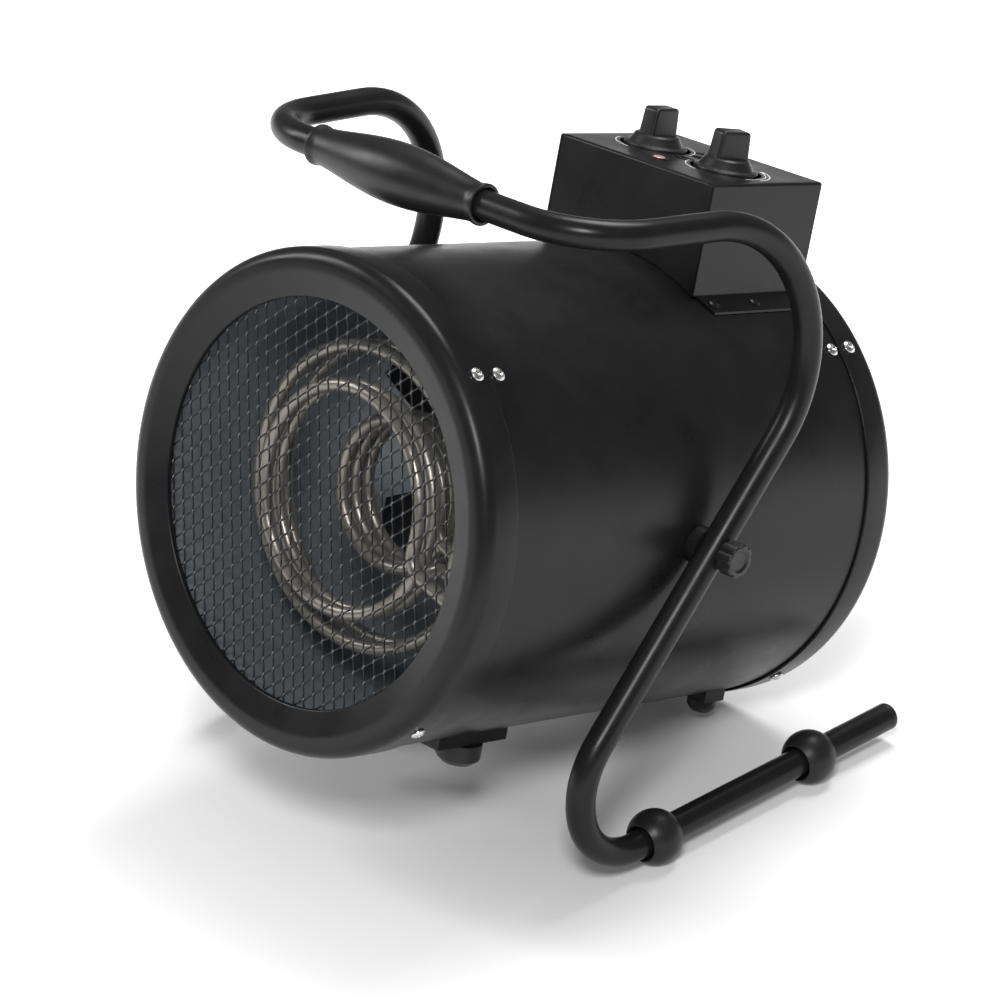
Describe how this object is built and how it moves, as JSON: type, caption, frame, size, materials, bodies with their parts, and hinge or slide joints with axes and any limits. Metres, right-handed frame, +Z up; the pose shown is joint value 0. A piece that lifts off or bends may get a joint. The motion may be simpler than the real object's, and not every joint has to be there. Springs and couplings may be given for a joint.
{
  "type": "forced air heater",
  "caption": "Portable drum fan heater with tubular heating elements behind a mesh grille, tilting on a bent tube stand that is also its carrying handle.",
  "frame": {"origin": "middle of the footprint on the floor under the heater, at the height its foot balls rest on", "axes": "+X to the near side along the tilt axis, +Y from the air outlet to the rear, +Z up"},
  "size_m": [0.369, 0.4322, 0.4332],
  "materials": {
    "black_steel": "satin black powder coat",
    "black_plastic": "moulded black plastic",
    "rubber": "soft black rubber",
    "zinc_steel": "bright zinc plate",
    "galvanised_steel": "bright galvanised sheet",
    "element_steel": "heat-tinted stainless sheath",
    "mesh_steel": "dark coated expanded mesh",
    "lamp_lens": "clear moulded lens",
    "white_plastic": "white moulded insulator"
  },
  "bodies": {
    "frame": {"frame_tube": "black_steel", "hand_grip": "rubber", "front_foot_ball_near": "rubber", "front_foot_ball_far": "rubber", "rear_foot_ball_near": "rubber", "rear_foot_ball_far": "rubber", "tube_cap_near": "black_plastic", "tube_cap_far": "black_plastic", "pivot_saddle_near": "black_steel", "pivot_saddle_far": "black_steel"},
    "drum": {"drum_casing": "black_steel", "front_rim": "black_steel", "rear_rim": "black_steel", "front_grille": "mesh_steel", "rear_guard": "mesh_steel", "inner_liner": "galvanised_steel", "outer_element": "element_steel", "middle_element": "element_steel", "inner_element": "element_steel", "element_bracket": "galvanised_steel", "fan_motor": "galvanised_steel", "motor_mount": "galvanised_steel", "control_box": "black_steel", "box_front": "black_steel", "box_rear": "black_steel", "switch_plate": "galvanised_steel", "thermostat_body": "galvanised_steel", "selector_switch": "black_plastic", "pilot_lamp": "lamp_lens", "cable_gland": "black_plastic", "terminal_block": "white_plastic", "thermal_cutout": "black_plastic", "pivot_nut_near": "zinc_steel", "pivot_nut_far": "zinc_steel", "front_foot_bracket_near": "black_steel", "front_foot_bracket_far": "black_steel", "rear_foot_bracket_near": "black_steel", "rear_foot_bracket_far": "black_steel", "front_drum_foot_near": "rubber", "front_drum_foot_far": "rubber", "rear_drum_foot_near": "rubber", "rear_drum_foot_far": "rubber", "front_rim_screws_1": "zinc_steel", "front_rim_screws_2": "zinc_steel", "front_rim_screws_3": "zinc_steel", "front_rim_screws_4": "zinc_steel", "rear_rim_screws_1": "zinc_steel", "rear_rim_screws_2": "zinc_steel", "rear_rim_screws_3": "zinc_steel", "rear_rim_screws_4": "zinc_steel"},
    "near_clamp": {"clamp_stud_near": "zinc_steel", "clamp_knob_near": "black_plastic"},
    "far_clamp": {"clamp_stud_far": "zinc_steel", "clamp_knob_far": "black_plastic"},
    "thermostat": {"thermostat_knob": "black_plastic", "thermostat_spindle": "zinc_steel"},
    "selector": {"selector_knob": "black_plastic", "selector_spindle": "zinc_steel"},
    "fan": {"fan_impeller": "black_plastic", "motor_shaft": "zinc_steel"}
  },
  "joints": [
    {"name": "drum_tilt", "type": "hinge", "parent": "frame", "child": "drum", "pos_m": [0, 0.0021, 0.19919], "axis": [1, 0, 0], "range_deg": [0, 26.5]},
    {"name": "near_clamp_turn", "type": "hinge", "parent": "drum", "child": "near_clamp", "pos_m": [0.17, 0.0021, 0.19919], "axis": [1, 0, 0], "range_deg": [0, 360]},
    {"name": "far_clamp_turn", "type": "hinge", "parent": "drum", "child": "far_clamp", "pos_m": [-0.17, 0.0021, 0.19919], "axis": [-1, 0, 0], "range_deg": [0, 360]},
    {"name": "thermostat_turn", "type": "hinge", "parent": "drum", "child": "thermostat", "pos_m": [0.03, 0.15151, 0.36746], "axis": [0, 0.2334, 0.9724], "range_deg": [-270, 0]},
    {"name": "selector_turn", "type": "hinge", "parent": "drum", "child": "selector", "pos_m": [-0.03, 0.15151, 0.36746], "axis": [0, 0.2334, 0.9724], "range_deg": [-135, 0]},
    {"name": "fan_spin", "type": "hinge", "parent": "drum", "child": "fan", "pos_m": [0, 0, 0.19044], "axis": [0, 0.9724, -0.2334], "continuous": true}
  ]
}
